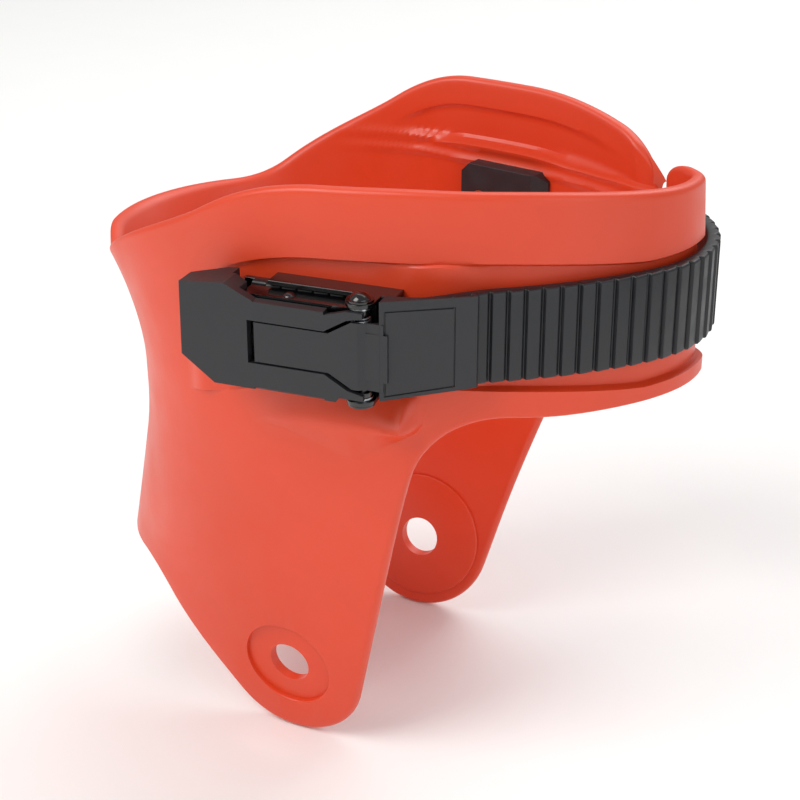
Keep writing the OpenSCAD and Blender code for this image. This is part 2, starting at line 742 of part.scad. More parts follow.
module release_rocker() {
  color([0.14, 0.14, 0.15])
    in_buckle()
      difference() {
        union() {
          // the tongue in the lever's window
          intersection() {
            translate([0, 0, -20])
              linear_extrude(40)
                polygon([[tongue_start, -tongue_low], [tongue_start, -tongue_top],
                  [lever_s + 0.6, -tongue_top], [lever_s + 2.5, -12.7], [sleeve_start + 1, -12.9],
                  [sleeve_start + 1, -10.5], [lever_s + 2, -tongue_low]]);
            face_prism(0, face_n + 1)
              polygon(window_outline(tongue_gap, 1));
            translate([0, -face_n, 0])
              cube([80, 2 * face_n, 2 * (window_mouth - mouth_gap)], center = true);
          }
          // the hub on the lever pin and its web
          cross_rod(lever_s, lever_n, 2.9, 12);
          translate([0, 0, -6])
            linear_extrude(12)
              polygon([[lever_s - 2, -lever_n], [lever_s, -lever_n + 2.9], [sleeve_start + 2, -8.4],
                [sleeve_start + 2, -12.9], [lever_s - 2, -12.95]]);
          // the sleeve over the strap's mouth
          intersection() {
            translate([0, 0, -20])
              linear_extrude(40)
                polygon([[sleeve_start, -13], [sleeve_end - 1.5, -2.9], [sleeve_end, -1.9], [sleeve_end, -0.8],
                  [sleeve_end - 5, -4.4], [sleeve_start + 6, -7.5], [sleeve_start, -8.6]]);
            face_prism(-2, face_n)
              polygon([[sleeve_start - 1, -10.9], [sleeve_end + 1, -8.4], [sleeve_end + 1, 14.6], [sleeve_start - 1, 14.2]]);
          }
        }
        cross_rod(lever_s, lever_n, pin_r + run_gap, 60);
        // the pocket that holds the pawl
        slab(sleeve_start + 1.4, sleeve_start + 6.6, 0, 9.2, 16.6);
        pawl_rivet_shapes(0.8 + seat_gap);
        // a fine groove frames the sleeve's face
        translate([sleeve_start, -13, 0])
          rotate([0, 0, sleeve_slope])
            rotate([90, 0, 0])
              linear_extrude(0.7, center = true)
                difference() {
                  polygon([[1.1, -9.8], [17.9, -8], [17.9, 12.2], [1.1, 11.9]]);
                  polygon([[1.5, -9.4], [17.5, -7.6], [17.5, 11.8], [1.5, 11.5]]);
                }
      }
}
module holding_pawl() {
  color("dimgray")
    in_buckle()
      difference() {
        translate([0, 0, -8])
          linear_extrude(16)
            polygon([[sleeve_start + 1.7, -9.15], [sleeve_start + 6.3, -9.15], [sleeve_start + 6.3, -7.4],
              [sleeve_start + 4.4, -6.15], [sleeve_start + 2.6, -6.15], [sleeve_start + 1.7, -7.4]]);
        pawl_rivet_shapes(0.8 + seat_gap);
      }
}
rivet_z = [-4.5, 4.5];
module pawl_rivet_shapes(r) {
  for (z = rivet_z)
    translate([sleeve_start + 4, -8.2, z])
      rotate([90, 0, 0])
        cylinder(r = r, h = 1.7);
}
module pawl_rivets() {
  color("silver")
    in_buckle()
      pawl_rivet_shapes(0.8);
}

cuff_shell();
ladder_strap();
anchor_block();
anchor_inserts();
anchor_screws();
anchor_plate();
buckle_base();
base_rivets();
rivet_washers();
lever_pin();
lever_pin_clip();
pivot_washers();
lever_yoke();
lever_handle();
handle_screws();
drive_pawl_pins();
drive_pawl();
drive_pawl_spring();
release_rocker();
holding_pawl();
pawl_rivets();
release_spring();
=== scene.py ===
"""Looks of a climbing spur's ankle cuff: moulded shell, ladder strap and lever ratchet buckle."""

import math

import bpy
from mathutils import Matrix, Vector


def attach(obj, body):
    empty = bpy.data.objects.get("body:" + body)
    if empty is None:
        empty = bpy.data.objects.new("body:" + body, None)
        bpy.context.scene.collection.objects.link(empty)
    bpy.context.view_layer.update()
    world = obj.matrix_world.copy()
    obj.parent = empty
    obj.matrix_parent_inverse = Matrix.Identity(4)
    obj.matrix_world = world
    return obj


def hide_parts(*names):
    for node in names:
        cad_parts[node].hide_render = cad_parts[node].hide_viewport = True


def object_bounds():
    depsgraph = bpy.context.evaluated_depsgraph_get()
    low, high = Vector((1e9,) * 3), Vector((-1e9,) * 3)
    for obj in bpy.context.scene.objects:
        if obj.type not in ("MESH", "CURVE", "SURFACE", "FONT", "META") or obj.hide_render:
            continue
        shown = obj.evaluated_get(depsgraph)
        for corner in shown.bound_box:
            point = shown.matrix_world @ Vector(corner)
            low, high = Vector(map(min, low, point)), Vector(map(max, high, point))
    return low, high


bl_info = {
    "name": "Climbing Spur Ankle Cuff",
    "version": (1, 0, 0),
    "blender": (4, 5, 0),
    "location": "View3D > Sidebar > Ankle Cuff",
    "description": "Builds the visible pieces of a climbing spur's ankle cuff around its frame",
    "category": "Object",
}

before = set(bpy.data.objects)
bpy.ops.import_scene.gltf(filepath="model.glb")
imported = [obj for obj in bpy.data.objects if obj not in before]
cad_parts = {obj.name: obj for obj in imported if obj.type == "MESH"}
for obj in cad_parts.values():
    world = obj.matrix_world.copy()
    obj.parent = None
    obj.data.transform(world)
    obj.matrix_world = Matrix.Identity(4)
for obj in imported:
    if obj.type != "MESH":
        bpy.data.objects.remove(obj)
CAD_BOUNDS = [[float(v) for v in corner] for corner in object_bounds()]

MM = 0.001


# ---- small maths, in millimetres and degrees ----
def linear(hex_colour):
    """Turns an sRGB hex colour into linear red, green and blue."""
    parts = [int(hex_colour[k:k + 2], 16) / 255 for k in (1, 3, 5)]
    return tuple(p / 12.92 if p <= 0.04045 else ((p + 0.055) / 1.055) ** 2.4 for p in parts)


def clamp01(value):
    return min(max(value, 0.0), 1.0)


def step01(low, high, value):
    q = clamp01((value - low) / (high - low))
    return q * q * (3 - 2 * q)


def mix(a, b, share):
    return a + (b - a) * share


def soft_min(a, b, width):
    q = clamp01(0.5 + 0.5 * (b - a) / width)
    return mix(b, a, q) - width * q * (1 - q)


def soft_max(a, b, width):
    return -soft_min(-a, -b, width)


def cos_deg(angle):
    return math.cos(math.radians(angle))


def sin_deg(angle):
    return math.sin(math.radians(angle))


# ---- what a user would change ----
def length(name, description, millimetres):
    """A length property with its default given in millimetres."""
    return bpy.props.FloatProperty(
        name=name, description=description, default=millimetres * MM, min=0.0, unit="LENGTH", precision=5)


def colour(name, description, hex_colour):
    """A colour property with its default given as sRGB hex."""
    return bpy.props.FloatVectorProperty(
        name=name, description=description, default=linear(hex_colour), size=3, min=0.0, max=1.0, subtype="COLOR")


class AnkleCuffSizes(bpy.types.PropertyGroup):
    """Sizes of the moulded shell, the strap and the softened edges."""

    front_len: length("Front length", "Pivot axis to the front of the flaps", 97)
    rear_len: length("Rear length", "Pivot axis to the back of the shell", 70)
    flap_half: length("Flap half width", "Half width of the flaps, outside", 56)
    pivot_half: length("Pivot half width", "Half width across the ears at the pivot", 43)
    wall: length("Wall", "Thickness of the moulded wall", 3.6)
    rim_z: length("Rim height", "Height of the top rim at the flaps", 143)
    rear_rim_z: length("Rear rim height", "Height of the dip in the rim at the back", 104.5)
    flap_z: length("Flap height", "Height of the lower edge of the flaps", 88)
    rear_edge_z: length("Rear edge height", "Height of the lower edge at the back", 18)
    ear_r: length("Ear radius", "Radius of the ear around the pivot", 22.6)
    pivot_r: length("Pivot hole radius", "Radius of the pivot hole", 6)
    recess_r: length("Recess radius", "Radius of the recess around the pivot hole", 13)
    recess_d: length("Recess depth", "Depth of that recess", 1.4)
    disc_r: length("Disc radius", "Radius of the raised disc inside the ear", 19.5)
    edge_r: length("Edge radius", "Rounding of the shell's edges", 1.5)
    strap_w: length("Strap width", "Width of the ladder strap", 23)
    strap_core: length("Strap thickness", "Thickness of the strap without its teeth", 2.4)
    tooth_h: length("Tooth height", "Height of the strap's teeth", 1.1)
    tooth_pitch: length("Tooth pitch", "Distance from one tooth to the next", 4.2)
    moulding_edge: length("Moulding edge", "Rounding of the black mouldings' edges", 0.55)
    steel_edge: length("Steel edge", "Rounding of the pressed steel's edges", 0.25)


class AnkleCuffColours(bpy.types.PropertyGroup):
    """Colours of the materials."""

    shell: colour("Shell", "Orange-red of the moulded shell", "#DA401A")
    strap: colour("Strap", "Black of the ladder strap", "#1B1C20")
    moulding: colour("Moulding", "Black of the lever and the sleeve", "#1F2024")
    steel: colour("Black steel", "Black finish of the pressed steel", "#09090B")
    zinc: colour("Zinc", "Zinc plating of the small steel parts", "#B4B8BC")
    brass: colour("Brass", "Brass of the threaded inserts", "#C49A4C")
    floor: colour("Floor", "Pale studio floor", "#FBFBFA")


def sizes():
    return bpy.context.scene.ankle_cuff_sizes


def colours():
    return bpy.context.scene.ankle_cuff_colours


def mm(name):
    """A size in millimetres."""
    return getattr(sizes(), name) / MM


# ---- places, in millimetres and degrees ----
PAD_X, PAD_ANGLE, PAD_HALF = 16, 6, 52.8
BUCKLE_Z, ANCHOR_Z = 107.3, 110.5
NEAR_TIP, TIP_TUCK = 18, 6.5
FAR_END, FAR_SLANT = -316, 11
END_BEVEL = 4.6
CHANNEL_D = 2
CHANNEL_LOW, CHANNEL_HIGH = 92, 125.6
CHANNEL_LIP, CHANNEL_SHOULDER = 0.8, 1.2
LEDGE_H, LEDGE_END, LEDGE_DROP, LEDGE_OUT = 8.6, 41, 17, 0.9
EAR_LEAN = 0.16
FRONT_LEAN, LEAN_Z = 0.06, 98
PANEL_SUNK, RIDGE_H, RIDGE_HALF = 1.1, 0.7, 1.7
RIDGE_PLACES = (124.4, 120.2)
RECESS_ROUNDING = 0.5
FINE_EDGE = 0.12


class ShellForm:
    """The shell's shape: an oval plan that changes with height, cut off by an outline seen from the side."""

    def __init__(self):
        for name in ("front_len", "rear_len", "flap_half", "pivot_half", "wall", "rim_z", "rear_rim_z",
                     "flap_z", "rear_edge_z", "ear_r", "edge_r"):
            setattr(self, name, mm(name))
        self.front_angle = math.degrees(math.atan(0.265))
        self.rear_angle = 48
        self.ear_x = -0.5
        self.fillet_r = 24
        cos_f, sin_f = cos_deg(self.front_angle), sin_deg(self.front_angle)
        self.fillet_z = self.flap_z - self.fillet_r
        self.fillet_x = self.ear_x + (self.ear_r + self.fillet_r + self.fillet_z * sin_f) / cos_f
        self.fillet_start = self.fillet_x - self.fillet_r * cos_f
        self.ear_front_x = self.ear_x + self.ear_r * cos_f
        self.ear_rear_x = self.ear_x - self.ear_r * sin_deg(self.rear_angle)
        self.channel_h = self.rim_z - CHANNEL_LOW

    # plan
    def half_width(self, z):
        return soft_min(self.pivot_half + EAR_LEAN * z, self.flap_half, 3)

    def rear_reach(self, z):
        return (self.rear_len - 9.8 + soft_max(0, 0.25 * (64 - z), 2) - 2.6 * (1 - step01(45, 85, z))
                + 0.012 * max(0.0, z - 78) ** 2)

    def roundness(self, z, front):
        return 2 + (1 if front else 0.3) * (1 - step01(45, 85, z))

    def nominal_x(self, th):
        return (self.front_len if cos_deg(th) > 0 else self.rear_len) * cos_deg(th)

    def plan(self, th, z):
        """A point of the outer face and its outward direction, both seen from above."""
        c, s = cos_deg(th), sin_deg(th)
        p = self.roundness(z, c > 0)
        b = self.half_width(z)
        side = -1 if s < 0 else 1
        y = side * b * max(0.0, 1 - abs(c) ** p) ** (1 / p)
        x = self.nominal_x(th)
        lean = FRONT_LEAN * max(0.0, z - LEAN_Z) * step01(20, self.front_len, x)
        x -= (self.rear_reach(z) - self.rear_len) * step01(15, self.rear_len, -x) + lean
        a = self.front_len if c > 0 else self.rear_reach(z)
        gx = (1 if c > 0 else -1) * abs(c) ** (p - 1) / a
        gy = side * (abs(y) / b) ** (p - 1) / b
        m = math.hypot(gx, gy)
        return x, y, gx / m, gy / m

    # side outline
    def low_edge(self, x):
        if x < self.ear_rear_x:
            rise = ((self.ear_x - x) * sin_deg(self.rear_angle) - self.ear_r) / cos_deg(self.rear_angle)
            return soft_min(rise, self.rear_edge_z, 8)
        if x < self.ear_front_x:
            return -math.sqrt(max(0.0, self.ear_r ** 2 - (x - self.ear_x) ** 2))
        if x < self.fillet_start:
            return ((x - self.ear_x) * cos_deg(self.front_angle) - self.ear_r) / sin_deg(self.front_angle)
        if x < self.fillet_x:
            return self.fillet_z + math.sqrt(max(0.0, self.fillet_r ** 2 - (x - self.fillet_x) ** 2))
        return self.flap_z + 1.5 * step01(70, 95, x)

    def high_edge(self, th):
        x = self.nominal_x(th)
        far = step01(150, 200, -th)
        if th > -180:
            top = self.rim_z + 1.4 * step01(5, 45, x) - 3.8 * step01(-50, 5, th)
        else:
            top = self.rim_z + 0.3 - 0.0045 * max(0.0, x - 28) ** 2
        rise = self.rim_z + mix(-1.6, 3.5, far) + mix(0.57, 0.72, far) * x
        return soft_max(soft_min(top, rise, 9), self.rear_rim_z + 5.5 * step01(135, 165, -th), 5)

    def end_dist(self, th):
        return (NEAR_TIP - th) * 0.95 if th > -180 else (th - FAR_END) * 1.1

    @staticmethod
    def corner(radius, distance):
        if distance >= radius:
            return 0.0
        return radius - math.sqrt(max(0.0, radius ** 2 - (radius - distance) ** 2))

    def column(self, th):
        """Heights of one column's features: edges, facet, ledge and channel."""
        x = self.nominal_x(th)
        low = self.low_edge(x) + self.corner(6.5, self.end_dist(th))
        edge = self.high_edge(th)
        high = edge - self.corner(7 if th > -180 else 9, self.end_dist(th))
        ridge = 2 * step01(42, 50, x)
        lip = edge - self.channel_h * (0.55 + 0.45 * step01(self.rear_rim_z, 140, edge)) + ridge
        lip = max(lip, min(low + 4, 99.6))
        ledge = max(lip - LEDGE_H, low + 0.55 * (lip - low))
        facet = max(ledge - max(2, LEDGE_DROP * clamp01(x / LEDGE_END)), low + 0.83 * (ledge - low))
        scale = (high - lip) / self.channel_h
        floor_high = lip + (CHANNEL_HIGH - CHANNEL_LOW - CHANNEL_SHOULDER) * scale
        floor_high += step01(36, 60, x) * max(0.0, 124.4 - floor_high)
        slope_low = (self.low_edge(x + 0.3) - self.low_edge(x - 0.3)) / 0.6
        slope_high = (self.high_edge(th + 0.3) - self.high_edge(th - 0.3)) / 0.6 * 57.3 / 80
        return {
            "x": x, "low": low, "high": high, "lip": lip, "ledge": ledge, "facet": facet,
            "floor_low": lip + CHANNEL_LIP * scale, "floor_high": floor_high,
            "shoulder": floor_high + CHANNEL_SHOULDER * scale,
            "low_lift": self.edge_r * math.hypot(1, min(abs(slope_low), 3.5)),
            "high_lift": self.edge_r * math.hypot(1, min(abs(slope_high), 1.5)),
        }

    def levels(self, col):
        """Heights from the lower edge to the upper one, each with the rounding's inset."""
        low, high = col["low"], col["high"]
        low_lift = min(col["low_lift"], 0.3 * (col["facet"] - low))
        arc = [90 - 18 * k for k in range(6)]
        out = [(low + low_lift * (1 - sin_deg(a)), self.edge_r * (1 - cos_deg(a))) for a in arc]
        stretches = ((low + low_lift, col["facet"], 12), (col["facet"], col["ledge"], 10),
                     (col["ledge"], col["lip"], 8), (col["lip"], col["floor_low"], 4),
                     (col["floor_low"], col["floor_high"], 44), (col["floor_high"], col["shoulder"], 4),
                     (col["shoulder"], high - col["high_lift"], 18))
        for start, end, count in stretches:
            out += [(mix(start, end, (k + 1) / count), 0.0) for k in range(count)]
        out += [(high - col["high_lift"] * (1 - sin_deg(a)), self.edge_r * (1 - cos_deg(a)))
                for a in reversed(arc[:-1])]
        return out

    def outer_and_inner(self, th, col, z, inset, thin):
        """The two faces' points at one height; thin is what a rounded flap end takes off each face."""
        slant = step01(-285, FAR_END, th) * (1 - clamp01((z - self.flap_z) / (self.rim_z - self.flap_z)))
        x0, y0, nx, ny = self.plan(th - FAR_SLANT * slant, z)
        tuck = -TIP_TUCK * step01(4, NEAR_TIP, th)
        in_channel = step01(col["lip"], col["floor_low"], z) * (1 - step01(col["floor_high"], col["shoulder"], z))
        depth = CHANNEL_D * in_channel * step01(-8, 8, col["x"])
        out = tuck - depth - inset - thin
        x, y = x0 + nx * out, y0 + ny * out
        if -180 < th < -10:
            pad = -(PAD_HALF - math.tan(math.radians(PAD_ANGLE)) * (x - PAD_X))
            on_pad = step01(-20, -13, x) * (1 - step01(44, 60, x))
            y = mix(y, pad, on_pad * in_channel)
            up = (z - col["facet"]) / (col["ledge"] - col["facet"])
            down = (col["lip"] - z) / (col["lip"] - col["ledge"])
            share = clamp01(soft_min(soft_max(0, up, 0.12), down, 0.3))
            share *= step01(-2, 12, col["x"]) * (1 - step01(LEDGE_END, LEDGE_END + 4, col["x"]))
            y = mix(y, min(y, -self.flap_half - LEDGE_OUT), share)
        bevel = 0 if th > -180 else (self.wall - 1.2) * (1 - clamp01(self.end_dist(th) / END_BEVEL))
        back = tuck - depth + inset + thin - self.wall + self.relief(th, col, z) + bevel
        return (x, y, z), (x0 + nx * back, y0 + ny * back, z)

    def relief(self, th, col, z):
        """How far the inner face of the far flap is sunk into the wall: a panel over two ridges."""
        if th > -190:
            return 0.0
        x, side = col["x"], step01(END_BEVEL, END_BEVEL + 3, self.end_dist(th))
        panel = step01(7.5, 9, col["high"] - z) * step01(125.2, 126.6, z)
        panel *= step01(135, 141, col["high"]) * (1 - step01(40, 62, x))
        ridges = sum(max(0.0, 1 - ((z - height) / RIDGE_HALF) ** 2) ** 2 for height in RIDGE_PLACES)
        return side * (PANEL_SUNK * panel - RIDGE_H * ridges * step01(-34, -18, x) * (1 - step01(56, 66, x)))

    def stations(self):
        """Station angles from the near flap's tip to the far one, closer where the outline is steep."""
        out = []
        ends = [(90 - 22.5 * k) for k in range(5)]
        radius = 1.3
        for a in ends:
            out.append((NEAR_TIP - radius * (1 - sin_deg(a)) / 0.95, radius * (1 - cos_deg(a))))
        th = out[-1][0]
        while th > FAR_END + radius / 1.1 + 0.6:
            steep = -96 < th < -62 or -298 < th < -262
            th -= 0.55 if steep else 0.8 if th > 0 or th < -298 else 1.25
            out.append((th, 0.0))
        for a in reversed(ends):
            out.append((FAR_END + radius * (1 - sin_deg(a)) / 1.1, radius * (1 - cos_deg(a))))
        closed = self.wall / 2
        return [(NEAR_TIP, closed)] + out + [(FAR_END, closed)]


# ---- mesh helpers ----
def deselect():
    """Leaves edit mode and deselects everything."""
    if bpy.context.object and bpy.context.object.mode != "OBJECT":
        bpy.ops.object.mode_set(mode="OBJECT")
    bpy.ops.object.select_all(action="DESELECT")


def activate(piece):
    deselect()
    piece.select_set(True)
    bpy.context.view_layer.objects.active = piece


def named(name):
    """Gives the new primitive its name."""
    piece = bpy.context.object
    piece.name = name
    piece.data.name = name
    return piece


def woven_grid(name, rings):
    """A grid whose rows are laid on closed rings of points in millimetres; its seams and ends are merged."""
    around = len(rings[0])
    deselect()
    bpy.ops.mesh.primitive_grid_add(x_subdivisions=len(rings) - 1, y_subdivisions=around, size=1)
    piece = named(name)
    for vertex in piece.data.vertices:
        i = round((vertex.co.x + 0.5) * (len(rings) - 1))
        j = round((vertex.co.y + 0.5) * around) % around
        vertex.co = Vector(rings[i][j]) * MM
    tidy(piece, 0.002)
    return piece


def tidy(piece, distance):
    """Merges points closer than a distance in millimetres and turns the normals outwards."""
    activate(piece)
    bpy.ops.object.mode_set(mode="EDIT")
    bpy.ops.mesh.select_all(action="SELECT")
    bpy.ops.mesh.remove_doubles(threshold=distance * MM)
    bpy.ops.mesh.normals_make_consistent(inside=False)
    bpy.ops.object.mode_set(mode="OBJECT")


def turned(name, profile, place, segments=96):
    """A solid of revolution: a circle is extruded and scaled along a profile of (radius, height) in millimetres."""
    deselect()
    first_r, first_h = profile[0]
    bpy.ops.mesh.primitive_circle_add(vertices=segments, radius=first_r * MM, fill_type="NGON")
    piece = named(name)
    bpy.ops.object.mode_set(mode="EDIT")
    bpy.ops.mesh.select_all(action="SELECT")
    bpy.ops.transform.translate(value=(0, 0, first_h * MM))
    for (r0, h0), (r1, h1) in zip(profile, profile[1:]):
        bpy.ops.mesh.extrude_region_move(TRANSFORM_OT_translate={"value": (0, 0, (h1 - h0) * MM)})
        bpy.ops.transform.resize(value=(r1 / r0, r1 / r0, 1), center_override=(0, 0, h1 * MM))
    bpy.ops.mesh.select_all(action="SELECT")
    bpy.ops.mesh.normals_make_consistent(inside=False)
    bpy.ops.object.mode_set(mode="OBJECT")
    piece.data.transform(place)
    return piece


def apply_boolean(piece, tool, operation):
    """Cuts a tool out of a piece, or joins it on, and removes the tool."""
    activate(piece)
    modifier = piece.modifiers.new(operation, "BOOLEAN")
    modifier.operation = operation
    modifier.object = tool
    modifier.solver = "EXACT"
    bpy.ops.object.modifier_apply(modifier=modifier.name)
    bpy.data.objects.remove(tool)


def smooth(piece, angle):
    activate(piece)
    bpy.ops.object.shade_smooth_by_angle(angle=math.radians(angle))


def softened(name, node, edge):
    """A copy of a frame piece with its flat faces joined up and its edges rounded."""
    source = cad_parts[node]
    deselect()
    source.hide_set(False)
    source.select_set(True)
    bpy.context.view_layer.objects.active = source
    bpy.ops.object.duplicate(linked=False)
    piece = named(name)
    piece.parent = None
    for key in list(piece.keys()):
        del piece[key]
    bpy.ops.object.mode_set(mode="EDIT")
    bpy.ops.mesh.select_all(action="SELECT")
    bpy.ops.mesh.customdata_custom_splitnormals_clear()
    bpy.ops.mesh.remove_doubles(threshold=0.004 * MM)
    bpy.ops.mesh.dissolve_limited(angle_limit=math.radians(1.5))
    bpy.ops.object.mode_set(mode="OBJECT")
    modifier = piece.modifiers.new("rounded_edges", "BEVEL")
    modifier.width = edge * MM
    modifier.segments = 3
    modifier.limit_method = "ANGLE"
    modifier.angle_limit = math.radians(28)
    modifier.miter_outer = "MITER_ARC"
    bpy.ops.object.modifier_apply(modifier=modifier.name)
    tidy(piece, 0.002)
    smooth(piece, 38)
    # large faces keep their flat shading and the rounded edges take the bend
    weighted = piece.modifiers.new("flat_faces", "WEIGHTED_NORMAL")
    weighted.keep_sharp = True
    bpy.ops.object.modifier_apply(modifier=weighted.name)
    return piece


def dress(piece, material):
    """Gives a piece its only material."""
    piece.data.materials.clear()
    piece.data.materials.append(material)


def mount_piece(piece, body, slot, material, *nodes):
    """Lets a new piece stand for frame pieces: material, body and what it replaces; the slot argument is not used."""
    dress(piece, material)
    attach(piece, body)
    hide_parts(*nodes)


# ---- materials ----
def add_node(tree, kind, inputs=None, **settings):
    """Adds one node with its settings, and fills its inputs with values or links."""
    made = tree.nodes.new(kind)
    for key, value in settings.items():
        setattr(made, key, value)
    for key, value in (inputs or {}).items():
        if isinstance(value, bpy.types.NodeSocket):
            tree.links.new(value, made.inputs[key])
        else:
            made.inputs[key].default_value = value
    return made


def new_material(name):
    """An empty material and its tree, or the one made before."""
    known = bpy.data.materials.get(name)
    if known:
        return known, None
    material = bpy.data.materials.new(name)
    material.use_nodes = True
    material.node_tree.nodes.clear()
    return material, material.node_tree


def per_mm(size):
    """The scale of a texture whose features are this many millimetres across."""
    return 1 / (size * MM)


def finish_tree(tree, shader):
    add_node(tree, "ShaderNodeOutputMaterial", {"Surface": shader.outputs[0]})


def tints(tree, factor, dark, light):
    """A ramp from a darker to a lighter tint of one colour."""
    ramp = add_node(tree, "ShaderNodeValToRGB", {"Fac": factor})
    ramp.color_ramp.elements[0].position = 0.3
    ramp.color_ramp.elements[0].color = (*dark, 1)
    ramp.color_ramp.elements[1].position = 0.7
    ramp.color_ramp.elements[1].color = (*light, 1)
    return ramp.outputs["Color"]


def scaled(rgb, factor):
    return tuple(min(1.0, c * factor) for c in rgb)


def moulded_nylon():
    """Injection-moulded glass-filled nylon, orange-red: satin, with a fine spark-eroded grain."""
    material, tree = new_material("moulded_nylon_orange")
    if tree is None:
        return material
    base = tuple(colours().shell)
    place = add_node(tree, "ShaderNodeTexCoord").outputs["Object"]
    # flow marks a few centimetres long shift the pigment by a few percent
    flow = add_node(tree, "ShaderNodeTexNoise", {"Vector": place, "Scale": per_mm(45), "Detail": 3.0})
    # the real grain is about 0.2 mm; it is drawn at 0.7 mm so that it shows
    grain = add_node(tree, "ShaderNodeTexNoise", {"Vector": place, "Scale": per_mm(0.7), "Detail": 2.0})
    # handling leaves smoother patches of about 12 mm
    wear = add_node(tree, "ShaderNodeTexNoise", {"Vector": place, "Scale": per_mm(12), "Detail": 4.0})
    gloss = add_node(tree, "ShaderNodeMapRange",
                     {"Value": wear.outputs["Fac"], "From Min": 0.3, "From Max": 0.7, "To Min": 0.38, "To Max": 0.5})
    bump = add_node(tree, "ShaderNodeBump",
                    {"Height": grain.outputs["Fac"], "Strength": 0.22, "Distance": 0.05 * MM})
    shader = add_node(tree, "ShaderNodeBsdfPrincipled", {
        "Base Color": tints(tree, flow.outputs["Fac"], scaled(base, 0.96), scaled(base, 1.03)),
        "Roughness": gloss.outputs["Result"], "IOR": 1.53, "Normal": bump.outputs["Normal"],
        "Coat Weight": 0.12, "Coat Roughness": 0.3})
    finish_tree(tree, shader)
    return material


def strap_polyurethane():
    """Moulded polyurethane, black: semi-matt and slightly waxy, glossier in random patches of about 6 mm."""
    material, tree = new_material("moulded_polyurethane_black")
    if tree is None:
        return material
    base = tuple(colours().strap)
    place = add_node(tree, "ShaderNodeTexCoord").outputs["Object"]
    wear = add_node(tree, "ShaderNodeTexNoise", {"Vector": place, "Scale": per_mm(6), "Detail": 4.0})
    grain = add_node(tree, "ShaderNodeTexNoise", {"Vector": place, "Scale": per_mm(0.6), "Detail": 2.0})
    gloss = add_node(tree, "ShaderNodeMapRange",
                     {"Value": wear.outputs["Fac"], "From Min": 0.3, "From Max": 0.7, "To Min": 0.34, "To Max": 0.5})
    bump = add_node(tree, "ShaderNodeBump",
                    {"Height": grain.outputs["Fac"], "Strength": 0.2, "Distance": 0.04 * MM})
    shader = add_node(tree, "ShaderNodeBsdfPrincipled", {
        "Base Color": tints(tree, wear.outputs["Fac"], scaled(base, 0.85), scaled(base, 1.15)),
        "Roughness": gloss.outputs["Result"], "IOR": 1.5, "Normal": bump.outputs["Normal"]})
    finish_tree(tree, shader)
    return material


def black_nylon():
    """Glass-filled nylon, black: matt with a fine eroded grain and greyer where it is rubbed."""
    material, tree = new_material("glass_filled_nylon_black")
    if tree is None:
        return material
    base = tuple(colours().moulding)
    place = add_node(tree, "ShaderNodeTexCoord").outputs["Object"]
    grain = add_node(tree, "ShaderNodeTexNoise", {"Vector": place, "Scale": per_mm(0.5), "Detail": 2.0})
    rubbed = add_node(tree, "ShaderNodeTexNoise", {"Vector": place, "Scale": per_mm(5), "Detail": 5.0})
    gloss = add_node(tree, "ShaderNodeMapRange",
                     {"Value": rubbed.outputs["Fac"], "From Min": 0.3, "From Max": 0.7, "To Min": 0.42, "To Max": 0.58})
    bump = add_node(tree, "ShaderNodeBump",
                    {"Height": grain.outputs["Fac"], "Strength": 0.3, "Distance": 0.05 * MM})
    shader = add_node(tree, "ShaderNodeBsdfPrincipled", {
        "Base Color": tints(tree, rubbed.outputs["Fac"], scaled(base, 0.85), scaled(base, 1.2)),
        "Roughness": gloss.outputs["Result"], "IOR": 1.53, "Normal": bump.outputs["Normal"]})
    finish_tree(tree, shader)
    return material


def black_steel():
    """Spring steel with a black electrophoretic coat: glossy, with a slight orange peel."""
    material, tree = new_material("coated_steel_black")
    if tree is None:
        return material
    base = tuple(colours().steel)
    place = add_node(tree, "ShaderNodeTexCoord").outputs["Object"]
    peel = add_node(tree, "ShaderNodeTexNoise", {"Vector": place, "Scale": per_mm(1.5), "Detail": 1.0})
    haze = add_node(tree, "ShaderNodeTexNoise", {"Vector": place, "Scale": per_mm(7), "Detail": 4.0})
    gloss = add_node(tree, "ShaderNodeMapRange",
                     {"Value": haze.outputs["Fac"], "From Min": 0.3, "From Max": 0.7, "To Min": 0.14, "To Max": 0.26})
    bump = add_node(tree, "ShaderNodeBump",
                    {"Height": peel.outputs["Fac"], "Strength": 0.12, "Distance": 0.03 * MM})
    shader = add_node(tree, "ShaderNodeBsdfPrincipled", {
        "Base Color": tints(tree, haze.outputs["Fac"], scaled(base, 0.9), scaled(base, 1.15)),
        "Roughness": gloss.outputs["Result"], "IOR": 1.5, "Normal": bump.outputs["Normal"],
        "Coat Weight": 0.5, "Coat Roughness": 0.12})
    finish_tree(tree, shader)
    return material


